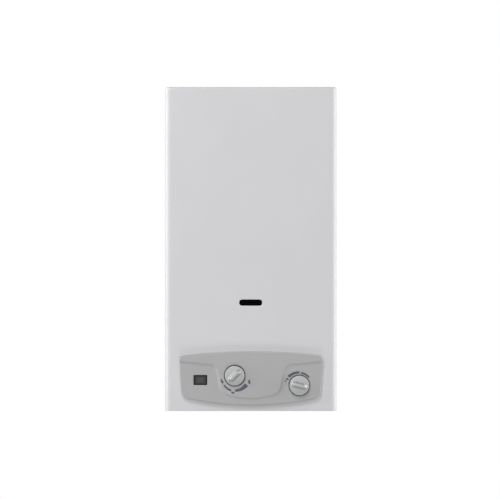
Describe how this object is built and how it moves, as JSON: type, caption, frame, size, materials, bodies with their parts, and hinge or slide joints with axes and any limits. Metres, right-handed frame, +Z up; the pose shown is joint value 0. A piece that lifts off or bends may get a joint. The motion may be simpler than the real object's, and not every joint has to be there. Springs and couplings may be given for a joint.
{
  "type": "tankless gas water heater",
  "caption": "Wall-hung gas water heater: flat sheet-steel casing with a sight slot, a low curved control fascia, two turning knobs, burner, copper exchanger, flue hood and valves.",
  "frame": {"origin": "on the wall plane, midway between the two upper hanging slots", "axes": "+Z up, +X to the right seen from the front, +Y into the wall"},
  "size_m": [0.314, 0.245, 0.5936],
  "materials": {
    "casing_paint": "satin grey enamel",
    "galvanised_sheet": "galvanised",
    "zinc_screw": "zinc plated",
    "smoked_glass": "dark gloss",
    "fascia_plastic": "fine texture",
    "knob_plastic": "satin moulded",
    "lens_plastic": "smoked gloss",
    "black_plastic": "moulded",
    "circuit_board": "lacquered board",
    "lcd": "glass cell",
    "spindle_steel": "turned",
    "cast_brass": "cast and machined",
    "diaphragm_rubber": "reinforced rubber",
    "filter_mesh": "moulded",
    "lever_steel": "spring steel",
    "cast_aluminium": "die cast",
    "solenoid_can": "drawn can",
    "burner_steel": "stainless, heat tinted",
    "gas_tube": "drawn tube",
    "ceramic": "glazed",
    "copper": "copper sheet and tube",
    "sensor_plastic": "moulded",
    "aluminised_sheet": "aluminised steel",
    "cell_wrap": "printed film",
    "lead_rubber": "silicone insulation"
  },
  "bodies": {
    "root": {"front_casing": "casing_paint", "back_plate": "galvanised_sheet", "bottom_bracket": "galvanised_sheet", "hood_bracket": "galvanised_sheet", "microswitch_bracket": "galvanised_sheet", "sight_glass_clip": "galvanised_sheet", "casing_screws": "zinc_screw", "fascia_screws": "zinc_screw", "valve_screws": "zinc_screw", "sight_glass": "smoked_glass", "control_fascia": "fascia_plastic", "display_lens": "lens_plastic", "display_housing": "black_plastic", "ignition_unit": "black_plastic", "microswitch": "black_plastic", "battery_case": "black_plastic", "display_board": "circuit_board", "lcd_glass": "lcd", "water_valve_body": "cast_brass", "diaphragm_cover": "cast_brass", "cold_inlet_nipple": "cast_brass", "hot_outlet_nipple": "cast_brass", "gas_inlet_nipple": "cast_brass", "drain_plug": "cast_brass", "injectors": "cast_brass", "diaphragm": "diaphragm_rubber", "inlet_filter": "filter_mesh", "gas_valve_body": "cast_aluminium", "gas_valve_cover": "cast_aluminium", "gas_solenoids": "solenoid_can", "burner_bars": "burner_steel", "burner_frame": "burner_steel", "gas_manifold": "burner_steel", "gas_pipe": "gas_tube", "pilot_tube": "gas_tube", "pilot_burner": "ceramic", "ignition_electrode": "ceramic", "ionisation_probe": "ceramic", "combustion_chamber": "copper", "exchanger_tubes": "copper", "exchanger_fins": "copper", "return_bends": "copper", "chamber_coil": "copper", "cold_water_pipe": "copper", "hot_water_pipe": "copper", "temperature_sensor": "sensor_plastic", "overheat_thermostat": "sensor_plastic", "spill_thermostat": "sensor_plastic", "flue_hood": "aluminised_sheet", "flue_collar": "aluminised_sheet", "flue_baffle": "aluminised_sheet", "ignition_leads": "lead_rubber"},
    "temperature_knob_body": {"temperature_knob": "knob_plastic", "temperature_spindle": "spindle_steel"},
    "power_knob_body": {"power_knob": "knob_plastic", "power_spindle": "spindle_steel"},
    "battery_drawer": {"battery_tray": "black_plastic", "battery_cells": "cell_wrap"},
    "pushrod_body": {"pushrod": "cast_brass"},
    "switch_lever": {"microswitch_lever": "lever_steel"}
  },
  "joints": [
    {"name": "temperature_knob_turn", "type": "hinge", "parent": "root", "child": "temperature_knob_body", "pos_m": [-0.0294, -0.23, -0.4951], "axis": [0, 1, 0], "range_deg": [-115, 14]},
    {"name": "power_knob_turn", "type": "hinge", "parent": "root", "child": "power_knob_body", "pos_m": [0.0886, -0.23, -0.5128], "axis": [0, 1, 0], "range_deg": [0, 125]},
    {"name": "battery_tray_slide", "type": "slide", "parent": "root", "child": "battery_drawer", "axis": [0, 0, -1], "range_m": [0, 0.075]},
    {"name": "pushrod_slide", "type": "slide", "parent": "root", "child": "pushrod_body", "axis": [1, 0, 0], "range_m": [0, 0.0035], "stiffness_N_per_m": 300, "springref_m": -0.002},
    {"name": "microswitch_lever_tip", "type": "hinge", "parent": "root", "child": "switch_lever", "pos_m": [0.0352, -0.15, -0.469], "axis": [0, -1, 0], "range_deg": [0, 15]}
  ],
  "couplings": [
    {"joint": "microswitch_lever_tip", "follows": "pushrod_slide", "rad_per_m": 74}
  ]
}
